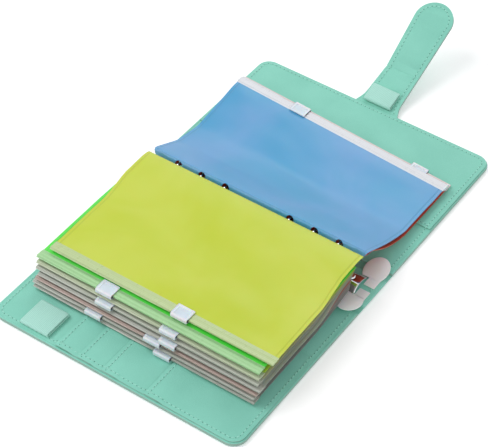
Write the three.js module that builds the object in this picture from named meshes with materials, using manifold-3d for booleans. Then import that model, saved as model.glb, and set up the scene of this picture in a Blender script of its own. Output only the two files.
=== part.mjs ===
// A zip-envelope cash wallet: a soft six-ring binder lying open, with film envelopes on its rings.
// Millimetres, +Z up. +X runs from the left (front) cover to the right (back) cover, +Y along the
// spine to the wallet's top edge. The origin is on the underside of the spine, at its middle.
import * as THREE from 'three';
import { mergeVertices } from 'three/addons/utils/BufferGeometryUtils.js';
import Module from 'manifold-3d';

const wasm = await Module();
wasm.setup();

// Clearances
const SEAT = 0.3;
const CREASE_GAP = 0.3;
const CUT_OVERRUN = 1;
const CUT_DEPTH = 4;

// Covers and spine
const COVER_WIDTH = 140;
const COVER_HEIGHT = 190;
const BOARD = 3;
const CORNER_RADIUS = 10;
const SPINE_WIDTH = 36;
const CREASE_SKIN = 1.2;
const CREASE_GROOVE = 4;

// Pocket panels sewn inside the covers
const PANEL_THICKNESS = 0.6;
const PANEL_HEM = 1;
const PANEL_REACH = 85;
const SLOT_OPENINGS = [43.5, 26.4, 7.6, -24.8];
const SLOT_TUCK = 10;
const SLOT_RAMP = 4;

// Flattened elastic pen loops
const LOOP_SIZE = { across: 23, along: 21.5, height: 3.4, wall: 1 };
const COVER_LOOP_CENTRE = { x: -143.6, y: 62 };
const STRAP_LOOP_CENTRE = { reach: 9.6, y: 1 };
const STRAP_LOOP_ACROSS = 15.5;

// Closing strap, in two leaves joined at a crease
const STRAP_THICKNESS = 2.2;
const STRAP_ROOT_WIDTH = 30;
const STRAP_WAIST_WIDTH = 26.5;
const STRAP_END_WIDTH = 30;
const STRAP_TIP_LENGTH = 60.5;
const STRAP_AXIS_HEIGHT = 2.5;
const STRAP_BASE_RISE = 17;
const STRAP_TIP_RISE = 29.3;
const MAGNET_RADIUS = 7;
const MAGNET_THICKNESS = 1.2;

// Ring mechanism
const RING_RADIUS = 12.5;
const WIRE_RADIUS = 1.2;
const RING_CENTRE_HEIGHT = 15.5;
const RING_STATIONS = [-63.5, -44.5, -25.5, 25.5, 44.5, 63.5];
const PLATE_HALF_WIDTH = 9;
const PLATE_HALF_LENGTH = 84;
const PLATE_THICKNESS = 0.8;
const PLATE_ARCH_RADIUS = 11.4;
const PLATE_NOTCH_WIDTH = 3.6;
const PLATE_NOTCH_START = 3.6;
const LEAF_THICKNESS = 0.8;
const LEAF_WIDTH = 6.1;
const LEAF_HALF_LENGTH = 80;
const LEAF_STAND = 0.4;
const RING_END_ANGLE = 158;
const RIVET_STATION = 76;
const RIVET_SHANK_RADIUS = 1.6;
const RIVET_HEAD_RADIUS = 3.2;
const RIVET_HEAD_HEIGHT = 1.1;
const RIVET_DOME = { radius: 0.8, height: 0.7 };

// Page lifter: two thin plastic lobes held under the plate's lower end
const LIFTER_THICKNESS = 0.8;
const LIFTER_SEMI = { x: 11, y: 8.5 };
const LIFTER_CENTRE = { x: 17, y: -85.5 };
const LIFTER_NECK = { inner: 2.2, lap: 1.5, low: -92.5, high: -84.6 };
const LIFTER_RISE = 10;

// Zip envelopes
const FILM_WIDTH = 120;
const FILM_HALF_LENGTH = 84.5;
const FILM_EDGE = 0.5;
const FILM_BELLY = 1;
const FILM_MARGIN = 5.5;
const FILM_STAND = 2.6;
const FILM_CORNER = 12;
const HOLE_RADIUS = 3;
const RAIL_WIDTH = 7;
const RAIL_THICKNESS = 2.2;
const RAIL_PITCH = 3.4;
const LEFT_RING_ANGLES = [4, 36, 44, 53, 62, 72, 83, 95];
const RIGHT_RING_ANGLES = [14, 38];
const ZIP_SKEWS = [-3, 1.5, 0.5, 0, -2.5, -1, 0.5, 0, 0, 0];

// How a film falls from its ring to its stack: its first bend, its slope, and where it comes to lie flat
const TOP_BEND = 5;
const BEND_REACH = 3;
const BEND_GAIN = 0.08;
const FALL_SHARE = 0.45;
const RIGHT_FALL_LOSS = 0.006;
const SETTLE_REACH = 55;
const SETTLE_SLACK = 0.55;
const SETTLE_RISE = 0.8;
const HANDLE_RISE = 1.2;
const BELLY_EASE = 20;
const RAIL_EASE = 3;

// The right stack's zip ends are lifted at the wallet's top edge
const RIGHT_LIFT = 12;
const LIFT_START = 30;
const LIFT_END = FILM_WIDTH - 20;

// Zip sliders
const SLIDER = { along: 12.5, across: 10, thickness: 3.1, overhang: 2.2, play: 0.12 };
const SLIDER_STATIONS = [-19.5, 32.2, -18, 30.3, -19.5, -8.8, 36.4, -17, 34, -60];

const radians = THREE.MathUtils.degToRad;
const fore = SPINE_WIDTH / 2 + COVER_WIDTH;
const group = new THREE.Group();

const leather = { color: 0x83cfb8, roughness: 0.55, metalness: 0 };
const elastic = { color: 0xa8decf, roughness: 0.9, metalness: 0 };
const chrome = { color: 0xd8d8da, roughness: 0.12, metalness: 1 };
const plastic = { color: 0xe6e7ec, roughness: 0.4, metalness: 0 };
const lifterPlastic = { color: 0xe8d3d3, roughness: 0.35, metalness: 0 };
const magnetSteel = { color: 0x9a9a9e, roughness: 0.4, metalness: 1 };
const filmColours = [
  0xc8d44c, 0x5ae650, 0xa8e070, 0xd6cf4a, 0x5aa8d8, 0xe88a9a, 0x8a6ac0, 0xe0503a, 0x68aad6, 0xe0593a,
];

function addMesh(name, geometry, look) {
  const mesh = new THREE.Mesh(geometry, new THREE.MeshStandardMaterial(look));
  mesh.name = name;
  group.add(mesh);
  return mesh;
}

// A closed geometry as a solid, and a solid as a geometry
function solidOf(geometry) {
  const bare = geometry.index ? geometry.toNonIndexed() : geometry.clone();
  bare.deleteAttribute('normal');
  bare.deleteAttribute('uv');
  const merged = mergeVertices(bare, 1e-4);
  return new wasm.Manifold(new wasm.Mesh({
    numProp: 3,
    vertProperties: new Float32Array(merged.attributes.position.array),
    triVerts: new Uint32Array(merged.index.array),
  }));
}

function geometryOf(solid) {
  const mesh = solid.getMesh();
  const geometry = new THREE.BufferGeometry();
  geometry.setAttribute('position', new THREE.BufferAttribute(new Float32Array(mesh.vertProperties), 3));
  geometry.setIndex(new THREE.BufferAttribute(new Uint32Array(mesh.triVerts), 1));
  geometry.computeVertexNormals();
  return geometry;
}

function boxBetween(low, high) {
  const size = high.map((value, i) => value - low[i]);
  const box = new THREE.BoxGeometry(...size);
  box.translate(...low.map((value, i) => value + size[i] / 2));
  return box;
}

function cut(geometry, tools) {
  let solid = solidOf(geometry);
  for (const tool of tools) {
    solid = solid.subtract(solidOf(tool));
  }
  return geometryOf(solid);
}

// An outline drawn in X and Z, carried along Y
function alongY(shape, low, high, steps = 1) {
  const body = new THREE.ExtrudeGeometry(shape, { depth: high - low, steps, bevelEnabled: false });
  body.rotateX(Math.PI / 2);
  body.translate(0, high, 0);
  return body;
}

// A plate seen from above: straight at the inner side, rounded at the two outer corners
function plateOutline(inner, outer, halfHeight, radius) {
  const side = Math.sign(outer - inner);
  const turn = outer - side * radius;
  const shape = new THREE.Shape();
  shape.moveTo(inner, -halfHeight);
  shape.lineTo(turn, -halfHeight);
  const start = side > 0 ? -Math.PI / 2 : 3 * Math.PI / 2;
  const middle = side > 0 ? 0 : Math.PI;
  const end = Math.PI / 2;
  shape.absarc(turn, -halfHeight + radius, radius, start, middle, side < 0);
  shape.absarc(turn, halfHeight - radius, radius, middle, end, side < 0);
  shape.lineTo(inner, halfHeight);
  return shape;
}

function slabFromOutline(shape, low, high) {
  const slab = new THREE.ExtrudeGeometry(shape, { depth: high - low, bevelEnabled: false, curveSegments: 6 });
  slab.translate(0, 0, low);
  return slab;
}

// Covers and spine: boards wrapped in one skin, which thins to a crease between them
function makeCovers() {
  const half = COVER_HEIGHT / 2;
  const crease = SPINE_WIDTH / 2;
  const grooveEnd = crease + CREASE_GROOVE;
  for (const [name, side] of [['left_cover_panel', -1], ['right_cover_panel', 1]]) {
    const outline = plateOutline(side * (crease + CREASE_GAP / 2), side * fore, half, CORNER_RADIUS);
    const xs = [side * (crease - 1), side * grooveEnd].sort((a, b) => a - b);
    const groove = boxBetween([xs[0], -half - 1, CREASE_SKIN], [xs[1], half + 1, BOARD + 1]);
    const tools = [groove];
    if (side < 0) {
      const pocketLow = BOARD - MAGNET_THICKNESS - SEAT;
      tools.push(magnetDisc(coverMagnetX(), 0, pocketLow, MAGNET_RADIUS + SEAT, BOARD + 1));
    }
    addMesh(name, cut(slabFromOutline(outline, 0, BOARD), tools), leather);
  }
  const edge = crease - CREASE_GAP / 2;
  const board = boxBetween([-edge, -half, 0], [edge, half, BOARD]);
  const grooves = [-1, 1].map((side) => {
    const xs = [side * (crease - CREASE_GROOVE), side * (crease + 1)].sort((a, b) => a - b);
    return boxBetween([xs[0], -half - 1, CREASE_SKIN], [xs[1], half + 1, BOARD + 1]);
  });
  addMesh('spine_panel', cut(board, grooves), leather);
}

// Discs that stand upright between two heights
function magnetDisc(x, y, low, radius, high) {
  const disc = new THREE.CylinderGeometry(radius, radius, high - low, 20);
  disc.rotateX(Math.PI / 2);
  disc.translate(x, y, (low + high) / 2);
  return disc;
}

// With the wallet shut, the strap's magnet lies over the cover's magnet
function coverMagnetX() {
  return -(fore + SEAT - (STRAP_TIP_LENGTH - STRAP_END_WIDTH / 2));
}

function makeCoverMagnet() {
  const x = coverMagnetX();
  const low = BOARD - MAGNET_THICKNESS;
  addMesh('cover_magnet', magnetDisc(x, 0, low, MAGNET_RADIUS, BOARD), magnetSteel);
}

// Card slots on the left cover: each panel is raised over the tail of the one above it
function makeCardSlots() {
  const base = BOARD + SEAT;
  const raise = PANEL_THICKNESS + SEAT;
  const low = -COVER_HEIGHT / 2 + PANEL_HEM;
  const inner = fore - PANEL_HEM - PANEL_REACH;
  SLOT_OPENINGS.forEach((opening, i) => {
    const last = i === SLOT_OPENINGS.length - 1;
    const tail = last ? low : SLOT_OPENINGS[i + 1] - SLOT_TUCK;
    const rampTop = opening - SLOT_TUCK - SEAT;
    const line = [[opening, raise], [rampTop, raise], [rampTop - SLOT_RAMP, 0], [tail, 0]];
    const shape = new THREE.Shape();
    line.forEach(([y, z], j) => (j ? shape.lineTo(y, base + z) : shape.moveTo(y, base + z)));
    line.reverse().forEach(([y, z]) => shape.lineTo(y, base + z + PANEL_THICKNESS));
    const width = fore - PANEL_HEM - inner;
    let panel = new THREE.ExtrudeGeometry(shape, { depth: width, bevelEnabled: false });
    panel.rotateY(Math.PI / 2);
    panel.rotateX(Math.PI / 2);
    panel.translate(-fore + PANEL_HEM, 0, 0);
    if (last) {
      const corner = cornerCutter(CORNER_RADIUS - PANEL_HEM);
      corner.translate(-fore + PANEL_HEM, low, base);
      panel = cut(panel, [corner]);
    }
    addMesh(`card_slot_panel_${i + 1}`, panel, leather);
  });
}

function makeBackPocket() {
  const outer = fore - PANEL_HEM;
  const half = COVER_HEIGHT / 2 - PANEL_HEM;
  const outline = plateOutline(outer - PANEL_REACH, outer, half, CORNER_RADIUS - PANEL_HEM);
  const low = BOARD + SEAT;
  addMesh('back_pocket_panel', slabFromOutline(outline, low, low + PANEL_THICKNESS), leather);
}

// A flat tube of elastic: an outline with round ends, with its bore
function loopBody(across) {
  const { along, height, wall } = LOOP_SIZE;
  const round = (shape, halfWidth, halfHeight) => {
    const straight = halfWidth - halfHeight;
    shape.absarc(straight, 0, halfHeight, -Math.PI / 2, Math.PI / 2, false);
    shape.absarc(-straight, 0, halfHeight, Math.PI / 2, 3 * Math.PI / 2, false);
  };
  const shape = new THREE.Shape();
  round(shape, across / 2, height / 2);
  const bore = new THREE.Path();
  round(bore, across / 2 - wall, height / 2 - wall);
  shape.holes.push(bore);
  const body = new THREE.ExtrudeGeometry(shape, { depth: along, bevelEnabled: false, curveSegments: 6 });
  body.rotateX(Math.PI / 2);
  body.translate(0, along / 2, height / 2);
  return body;
}

function makeCoverLoop() {
  const loop = addMesh('cover_pen_loop', loopBody(LOOP_SIZE.across), elastic);
  loop.position.set(COVER_LOOP_CENTRE.x, COVER_LOOP_CENTRE.y, BOARD + SEAT);
}

// Strap: it leaves the right cover's edge and rises; shut, its crease turns the left cover's edge
const strapRoot = { x: fore + SEAT, z: STRAP_AXIS_HEIGHT };
const strapBaseLength = (SPINE_WIDTH / 2 + CREASE_SKIN) * 2 + SEAT - STRAP_AXIS_HEIGHT;

function strapPoint(along) {
  const turn = radians(STRAP_BASE_RISE);
  return { x: strapRoot.x + along * Math.cos(turn), z: strapRoot.z + along * Math.sin(turn) };
}

function makeStrap() {
  const baseShape = new THREE.Shape();
  baseShape.moveTo(SEAT, -STRAP_ROOT_WIDTH / 2);
  baseShape.lineTo(strapBaseLength - SEAT / 2, -STRAP_WAIST_WIDTH / 2);
  baseShape.lineTo(strapBaseLength - SEAT / 2, STRAP_WAIST_WIDTH / 2);
  baseShape.lineTo(SEAT, STRAP_ROOT_WIDTH / 2);
  const base = addMesh('strap_base', slabFromOutline(baseShape, -STRAP_THICKNESS, 0), leather);
  base.position.set(strapRoot.x, 0, strapRoot.z);
  base.rotation.y = -radians(STRAP_BASE_RISE);

  const end = STRAP_END_WIDTH / 2;
  const centre = STRAP_TIP_LENGTH - end;
  const tipShape = new THREE.Shape();
  tipShape.moveTo(SEAT / 2, -STRAP_WAIST_WIDTH / 2);
  tipShape.lineTo(centre, -end);
  tipShape.absarc(centre, 0, end, -Math.PI / 2, Math.PI / 2, false);
  tipShape.lineTo(SEAT / 2, STRAP_WAIST_WIDTH / 2);
  const magnetLow = -SEAT - MAGNET_THICKNESS;
  const tipSlab = new THREE.ExtrudeGeometry(tipShape, {
    depth: STRAP_THICKNESS, bevelEnabled: false, curveSegments: 16,
  });
  tipSlab.translate(0, 0, -STRAP_THICKNESS);
  const pocket = magnetDisc(centre, 0, magnetLow, MAGNET_RADIUS + SEAT, 1);
  const crease = strapPoint(strapBaseLength);
  const tip = addMesh('strap_tip', cut(tipSlab, [pocket]), leather);
  const disc = magnetDisc(centre, 0, magnetLow + SEAT, MAGNET_RADIUS, 0);
  const magnet = addMesh('strap_magnet', disc, magnetSteel);
  for (const piece of [tip, magnet]) {
    piece.position.set(crease.x, 0, crease.z);
    piece.rotation.y = -radians(STRAP_TIP_RISE);
  }

  const loop = loopBody(STRAP_LOOP_ACROSS);
  loop.translate(STRAP_LOOP_CENTRE.reach, STRAP_LOOP_CENTRE.y, SEAT);
  const loopMesh = addMesh('strap_pen_loop', loop, elastic);
  loopMesh.position.copy(base.position);
  loopMesh.rotation.copy(base.rotation);
}

// Ring mechanism: an arched plate riveted to the spine, over two leaves that carry the half rings
const leafLow = BOARD + LEAF_STAND;
const leafTop = leafLow + LEAF_THICKNESS;
const plateCrest = BOARD + SEAT + PLATE_ARCH_RADIUS
  - Math.sqrt(PLATE_ARCH_RADIUS ** 2 - PLATE_HALF_WIDTH ** 2);

function makePlate() {
  const centreZ = plateCrest - PLATE_ARCH_RADIUS;
  const inner = PLATE_ARCH_RADIUS - PLATE_THICKNESS;
  const outerAngle = Math.asin(PLATE_HALF_WIDTH / PLATE_ARCH_RADIUS);
  const innerAngle = Math.asin((PLATE_HALF_WIDTH - PLATE_THICKNESS) / inner);
  const shape = new THREE.Shape();
  shape.absarc(0, centreZ, PLATE_ARCH_RADIUS, Math.PI / 2 - outerAngle, Math.PI / 2 + outerAngle, false);
  shape.absarc(0, centreZ, inner, Math.PI / 2 + innerAngle, Math.PI / 2 - innerAngle, true);
  const plate = alongY(shape, -PLATE_HALF_LENGTH, PLATE_HALF_LENGTH);
  const tools = [];
  for (const y of RING_STATIONS) {
    for (const side of [-1, 1]) {
      const xs = [side * PLATE_NOTCH_START, side * (PLATE_HALF_WIDTH + 2)].sort((a, b) => a - b);
      const half = PLATE_NOTCH_WIDTH / 2;
      tools.push(boxBetween([xs[0], y - half, 0], [xs[1], y + half, plateCrest + 2]));
    }
  }
  for (const side of [-1, 1]) {
    tools.push(magnetDisc(0, side * RIVET_STATION, 0, RIVET_SHANK_RADIUS + SEAT, plateCrest + 2));
  }
  addMesh('ring_plate', cut(plate, tools), chrome);

  const head = plateCrest + SEAT;
  const profile = [
    [0, BOARD + SEAT], [RIVET_SHANK_RADIUS, BOARD + SEAT], [RIVET_SHANK_RADIUS, head],
    [RIVET_HEAD_RADIUS, head],
    [RIVET_HEAD_RADIUS * RIVET_DOME.radius, head + RIVET_HEAD_HEIGHT * RIVET_DOME.height],
    [0, head + RIVET_HEAD_HEIGHT],
  ].map(([r, z]) => new THREE.Vector2(r, z));
  for (const [name, side] of [['ring_rivet_top', 1], ['ring_rivet_bottom', -1]]) {
    const rivet = new THREE.LatheGeometry(profile, 16);
    rivet.rotateX(Math.PI / 2);
    addMesh(name, rivet, chrome).position.set(0, side * RIVET_STATION, 0);
  }
}

function makeRings() {
  for (const [word, side] of [['left', -1], ['right', 1]]) {
    const xs = [side * SEAT, side * (SEAT + LEAF_WIDTH)].sort((a, b) => a - b);
    const leaf = boxBetween([xs[0], -LEAF_HALF_LENGTH, leafLow], [xs[1], LEAF_HALF_LENGTH, leafTop]);
    const reach = RIVET_SHANK_RADIUS + 1;
    const notches = [-1, 1].map((end) => {
      const ys = [end * (RIVET_STATION - reach), end * (LEAF_HALF_LENGTH + 1)].sort((a, b) => a - b);
      return boxBetween([-reach, ys[0], 0], [reach, ys[1], RING_CENTRE_HEIGHT]);
    });
    addMesh(`ring_leaf_${word}`, cut(leaf, notches), chrome);
    RING_STATIONS.forEach((y, i) => {
      addMesh(`half_ring_${word}_${i + 1}`, halfRing(side), chrome).position.set(0, y, 0);
    });
  }
}

// Half a ring, from the joint at its crown down to the leaf that carries it
function halfRing(side) {
  const first = Math.asin(SEAT / 2 / RING_RADIUS);
  const last = radians(RING_END_ANGLE);
  class Arc extends THREE.Curve {
    getPoint(t, target = new THREE.Vector3()) {
      const turn = first + (last - first) * t;
      const x = side * RING_RADIUS * Math.sin(turn);
      return target.set(x, 0, RING_CENTRE_HEIGHT + RING_RADIUS * Math.cos(turn));
    }
  }
  const section = new THREE.Shape();
  section.absarc(0, 0, WIRE_RADIUS, 0, 2 * Math.PI, false);
  const wire = new THREE.ExtrudeGeometry(section, { steps: 14, curveSegments: 4, extrudePath: new Arc() });
  const reach = 2 * RING_RADIUS;
  return cut(wire, [boxBetween([-reach, -reach, -reach], [reach, reach, leafTop + SEAT])]);
}

// Page lifter: thin lobes that spread from under the plate's lower end
function makeLifters() {
  const low = BOARD + SEAT;
  for (const [word, side] of [['left', -1], ['right', 1]]) {
    const start = PLATE_HALF_WIDTH + SEAT;
    const shape = new THREE.Shape();
    const centreX = side * LIFTER_CENTRE.x;
    shape.absellipse(centreX, LIFTER_CENTRE.y, LIFTER_SEMI.x, LIFTER_SEMI.y, 0, 2 * Math.PI, false);
    const lobe = new THREE.ExtrudeGeometry(shape, {
      depth: LIFTER_THICKNESS, bevelEnabled: false, curveSegments: 16,
    });
    lobe.translate(-side * start, 0, 0);
    lobe.rotateY(-side * radians(LIFTER_RISE));
    lobe.translate(side * start, 0, low);
    const inward = [side * start, -side * start].sort((a, b) => a - b);
    const trim = boxBetween([inward[0], -COVER_HEIGHT, 0], [inward[1], 0, RING_CENTRE_HEIGHT]);
    const neckX = [side * LIFTER_NECK.inner, side * (start + LIFTER_NECK.lap)].sort((a, b) => a - b);
    const neckTop = low + LIFTER_THICKNESS;
    const neck = boxBetween([neckX[0], LIFTER_NECK.low, low], [neckX[1], LIFTER_NECK.high, neckTop]);
    const lifter = solidOf(lobe).subtract(solidOf(trim)).add(solidOf(neck));
    addMesh(`page_lifter_${word}`, geometryOf(lifter), lifterPlastic);
  }
}

// Zip envelopes: each follows a ring's radius at its punched margin, then turns down to its stack
function filmLine(side, ringAngle, railHeight) {
  const turn = radians(ringAngle);
  const out = { x: side * Math.sin(turn), z: Math.cos(turn) };
  const at = (r) => new THREE.Vector2(out.x * r, RING_CENTRE_HEIGHT + out.z * r);
  const start = at(RING_RADIUS - FILM_MARGIN);
  const stand = at(RING_RADIUS + FILM_STAND);
  const spread = side < 0 ? BEND_REACH + ringAngle * BEND_GAIN : BEND_REACH;
  const bend = ringAngle === LEFT_RING_ANGLES[0] ? TOP_BEND : spread;
  const fall = side < 0 ? FALL_SHARE : FALL_SHARE - ringAngle * RIGHT_FALL_LOSS;
  const settled = new THREE.Vector2(side * SETTLE_REACH, railHeight + SETTLE_RISE);
  const handle = {
    x: settled.x - side * SETTLE_REACH * SETTLE_SLACK,
    z: settled.y + (stand.y - settled.y) * fall + HANDLE_RISE,
  };
  const path = new THREE.Path();
  path.moveTo(start.x, start.y);
  path.lineTo(stand.x, stand.y);
  const first = { x: stand.x + out.x * bend, z: stand.y + out.z * bend };
  path.bezierCurveTo(first.x, first.z, handle.x, handle.z, settled.x, settled.y);
  const used = path.getLength();
  const rest = FILM_WIDTH - used;
  const run = Math.sqrt(rest ** 2 - SETTLE_RISE ** 2);
  path.lineTo(settled.x + side * run, railHeight);
  return { path, out, used, start };
}

// The envelope's section: thin at the margin, fuller in its middle, with the zip's thick rail
function filmSection(line) {
  const { path, used } = line;
  const lengths = [0, FILM_MARGIN + FILM_STAND];
  const curvedSteps = 12;
  for (let i = 1; i <= curvedSteps; i += 1) {
    lengths.push(lengths[1] + (used - lengths[1]) * (i / curvedSteps));
  }
  const railStart = FILM_WIDTH - RAIL_WIDTH;
  lengths.push((used + railStart) / 2, railStart - RAIL_EASE, railStart, railStart + FILM_EDGE, FILM_WIDTH);
  const total = path.getLength();
  const upper = [];
  const lower = [];
  for (const s of lengths) {
    const u = Math.min(s / total, 1);
    const point = path.getPointAt(u);
    const tangent = path.getTangentAt(Math.min(Math.max(u, 0.0005), 0.9995));
    const full = THREE.MathUtils.smoothstep(s, FILM_MARGIN + FILM_STAND, used + BELLY_EASE)
      * (1 - THREE.MathUtils.smoothstep(s, railStart - 4 * RAIL_EASE, railStart - RAIL_EASE));
    const film = FILM_EDGE + (FILM_BELLY - FILM_EDGE) * full;
    const half = (s > railStart ? RAIL_THICKNESS : film) / 2;
    const normal = new THREE.Vector2(-tangent.y, tangent.x).multiplyScalar(half);
    upper.push(point.clone().add(normal));
    lower.push(point.clone().sub(normal));
  }
  return new THREE.Shape([...upper, ...lower.reverse()]);
}

// Quarter-round cutter for the corner of a thin sheet, with the corner at its origin
function cornerCutter(radius) {
  const shape = new THREE.Shape();
  shape.moveTo(-CUT_OVERRUN, -CUT_OVERRUN);
  shape.lineTo(radius, -CUT_OVERRUN);
  shape.lineTo(radius, 0);
  shape.absarc(radius, radius, radius, -Math.PI / 2, Math.PI, true);
  shape.lineTo(-CUT_OVERRUN, radius);
  const depth = CUT_DEPTH;
  const cutter = new THREE.ExtrudeGeometry(shape, { depth, bevelEnabled: false, curveSegments: 5 });
  cutter.translate(0, 0, -CUT_DEPTH / 2);
  return cutter;
}

function rightLift(x, y) {
  const reach = THREE.MathUtils.clamp((x - LIFT_START) / (LIFT_END - LIFT_START), 0, 1);
  return RIGHT_LIFT * reach * (y + FILM_HALF_LENGTH) / (2 * FILM_HALF_LENGTH);
}

// How far an envelope has slid along the spine at a distance from it: nothing at its holes, most at its zip
function zipSkew(index, x) {
  const reach = THREE.MathUtils.clamp((Math.abs(x) - SETTLE_REACH / 2) / (SETTLE_REACH / 2), 0, 1);
  return ZIP_SKEWS[index] * reach;
}

function makeEnvelope(index, side, order) {
  const angles = side < 0 ? LEFT_RING_ANGLES : RIGHT_RING_ANGLES;
  const panelTop = BOARD + SEAT + PANEL_THICKNESS + (side < 0 ? PANEL_THICKNESS + SEAT : 0);
  const lowest = panelTop + SEAT + SLIDER.thickness / 2;
  const railHeight = lowest + RAIL_PITCH * (angles.length - 1 - order);
  const line = filmLine(side, angles[order], railHeight);
  const section = filmSection(line);
  let solid = solidOf(alongY(section, -FILM_HALF_LENGTH, FILM_HALF_LENGTH, side < 0 ? 1 : 2));
  const { out } = line;
  const hole = new THREE.Vector3(out.x * RING_RADIUS, 0, RING_CENTRE_HEIGHT + out.z * RING_RADIUS);
  const wireDirection = new THREE.Vector3(out.z, 0, -out.x);
  const upright = new THREE.Quaternion().setFromUnitVectors(new THREE.Vector3(0, 1, 0), wireDirection);
  for (const y of RING_STATIONS) {
    const punch = new THREE.CylinderGeometry(HOLE_RADIUS, HOLE_RADIUS, 2 * FILM_STAND, 10);
    punch.applyQuaternion(upright);
    punch.translate(hole.x, y, hole.z);
    solid = solid.subtract(solidOf(punch));
  }
  const outward = new THREE.Vector3(out.x, 0, out.z);
  for (const end of [-1, 1]) {
    const along = new THREE.Vector3(0, -end, 0);
    const normal = new THREE.Vector3().crossVectors(outward, along);
    const frame = new THREE.Matrix4().makeBasis(outward, along, normal);
    frame.setPosition(line.start.x, end * FILM_HALF_LENGTH, line.start.y);
    const cutter = cornerCutter(FILM_CORNER);
    cutter.applyMatrix4(frame);
    solid = solid.subtract(solidOf(cutter));
  }
  const geometry = geometryOf(solid);
  const place = geometry.attributes.position;
  for (let i = 0; i < place.count; i += 1) {
    const x = place.getX(i);
    const y = place.getY(i);
    place.setY(i, y + zipSkew(index, x));
    if (side > 0) {
      place.setZ(i, place.getZ(i) + rightLift(x, y));
    }
  }
  geometry.computeVertexNormals();
  const look = { color: filmColours[index], roughness: 0.3, metalness: 0, transparent: true, opacity: 0.75 };
  addMesh(`zip_envelope_${index + 1}`, geometry, look);
  makeSlider(index, side, line, railHeight);
}

// A slider is a saddle that straddles the rail's free edge
function makeSlider(index, side, line, railHeight) {
  const edge = line.path.getPointAt(1).x;
  const centre = edge + side * SLIDER.overhang - side * SLIDER.across / 2;
  const half = SLIDER.along / 2;
  const thick = SLIDER.thickness / 2;
  const block = boxBetween([-SLIDER.across / 2, -half, -thick], [SLIDER.across / 2, half, thick]);
  const slotFace = SLIDER.across / 2 - SLIDER.overhang + SEAT;
  const slotHalf = RAIL_THICKNESS / 2 + SLIDER.play;
  const xs = [side * slotFace, -side * (SLIDER.across / 2 + 1)].sort((a, b) => a - b);
  const slot = boxBetween([xs[0], -half - 1, -slotHalf], [xs[1], half + 1, slotHalf]);
  const mesh = addMesh(`zip_slider_${index + 1}`, cut(block, [slot]), plastic);
  const y = SLIDER_STATIONS[index];
  const lift = side > 0 ? rightLift(centre, y) : 0;
  mesh.position.set(centre, y, railHeight + lift);
  if (side > 0) {
    mesh.rotation.x = Math.atan2(RIGHT_LIFT, 2 * FILM_HALF_LENGTH);
  }
}

makeCovers();
makeCoverMagnet();
makeCardSlots();
makeBackPocket();
makeCoverLoop();
makeStrap();
makePlate();
makeRings();
makeLifters();
LEFT_RING_ANGLES.forEach((angle, order) => makeEnvelope(order, -1, order));
RIGHT_RING_ANGLES.forEach((angle, order) => makeEnvelope(LEFT_RING_ANGLES.length + order, 1, order));

export default group;
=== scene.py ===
import math

import bmesh
import bpy
from mathutils import Matrix, Vector, noise


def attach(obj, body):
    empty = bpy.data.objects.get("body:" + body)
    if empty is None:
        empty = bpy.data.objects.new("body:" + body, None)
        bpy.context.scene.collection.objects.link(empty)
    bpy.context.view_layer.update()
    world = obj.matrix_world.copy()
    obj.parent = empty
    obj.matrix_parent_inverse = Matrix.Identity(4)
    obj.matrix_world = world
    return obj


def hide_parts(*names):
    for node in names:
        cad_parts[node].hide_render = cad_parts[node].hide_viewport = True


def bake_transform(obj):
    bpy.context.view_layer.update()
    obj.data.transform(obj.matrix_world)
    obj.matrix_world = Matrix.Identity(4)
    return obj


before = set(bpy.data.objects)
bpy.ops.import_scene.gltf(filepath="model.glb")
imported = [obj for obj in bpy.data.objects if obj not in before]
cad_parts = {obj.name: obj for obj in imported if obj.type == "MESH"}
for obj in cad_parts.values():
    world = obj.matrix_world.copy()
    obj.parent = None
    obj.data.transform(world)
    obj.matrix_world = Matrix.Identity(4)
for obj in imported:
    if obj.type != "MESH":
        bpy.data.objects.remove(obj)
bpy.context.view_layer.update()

MM = 0.001

# Sizes shared with the construction, in millimetres
FORE = 158
COVER_HALF = 95
BOARD = 3
CORNER_RADIUS = 10
SPINE_HALF = 18
CREASE_GROOVE = 4
CREASE_SKIN = 1.2
SEAT = 0.3
PANEL_THICKNESS = 0.6
PANEL_HEM = 1
PANEL_REACH = 85
SLOT_OPENINGS = [43.5, 26.4, 7.6, -24.8]
SLOT_TUCK = 10
STRAP_ROOT = Vector((158.3, 0, 2.5))
STRAP_BASE_LENGTH = 36.2
STRAP_TIP_LENGTH = 60.5
STRAP_THICKNESS = 2.2
STRAP_END_RADIUS = 15
STRAP_WAIST = 13.25
STRAP_RISES = (17, 29.3)
RING_RADIUS = 12.5
WIRE_RADIUS = 1.2
RING_CENTRE = 15.5
RING_STATIONS = [-63.5, -44.5, -25.5, 25.5, 44.5, 63.5]
FILM_WIDTH = 120
FILM_HALF = 84.5
FILM_MARGIN = 5.5
FILM_STAND = 2.6
FILM_CORNER = 12
HOLE_RADIUS = 3
RAIL_WIDTH = 7
RAIL_PITCH = 3.4
LEFT_RING_ANGLES = [4, 36, 44, 53, 62, 72, 83, 95]
RIGHT_RING_ANGLES = [14, 38]
ZIP_SKEWS = [-3, 1.5, 0.5, 0, -2.5, -1, 0.5, 0, 0, 0]
LEFT_COUNT = len(LEFT_RING_ANGLES)
RIGHT_COUNT = len(RIGHT_RING_ANGLES)
TOP_BEND = 5
BEND_REACH = 3
BEND_GAIN = 0.08
LIFT_START = 30
LIFT_END = FILM_WIDTH - 20
RIGHT_LIFT = 12
SLIDER_STATIONS = [-19.5, 32.2, -18, 30.3, -19.5, -8.8, 36.4, -17, 34, -60]
SETTLE = 55
SPLAY_LIFT = 0.25
SETTLE_SLACK = 0.55
SETTLE_RISE = 0.8
HANDLE_RISE = 1.2
FALL_SHARE = 0.45
RIGHT_FALL_LOSS = 0.006
CURVE_STEPS = 60
RAIL_STATIONS = 57
RAIL_OVERRUN = 0.4
RIGHT_ZIP_SPLAY = 1.6
ZIP_SPLAY = 0.3
SPLAY_START = 4
SPLAY_END = 26
STRAP_BLEND_ANGLE = 23
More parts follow.
